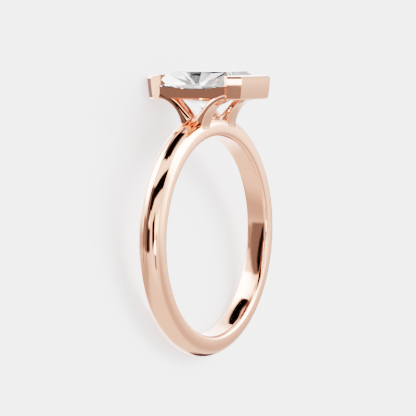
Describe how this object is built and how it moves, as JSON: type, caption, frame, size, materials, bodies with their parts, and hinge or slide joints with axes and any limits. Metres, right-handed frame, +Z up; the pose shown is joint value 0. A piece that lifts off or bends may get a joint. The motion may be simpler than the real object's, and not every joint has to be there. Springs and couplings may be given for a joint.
{
  "type": "bezel set ring",
  "caption": "Slim round-backed finger ring with a rectangular cut-cornered stone, held by bezel walls at its ends over rails and splayed arms.",
  "frame": {"origin": "on the surface that the ring lies on, under the middle of its box", "axes": "+Y from the back of the band towards the stone, +X across the finger hole, +Z up. The finger hole's axis leans 9 degrees from +Z, because the ring lies on the back of its band and the foot of one end wall"},
  "size_m": [0.0208, 0.0244, 0.0091],
  "materials": {
    "rose_gold": "high polish rose gold",
    "colourless_stone": "polished colourless faceted stone"
  },
  "bodies": {
    "root": {"mounting": "rose_gold", "stone": "colourless_stone"}
  },
  "joints": []
}
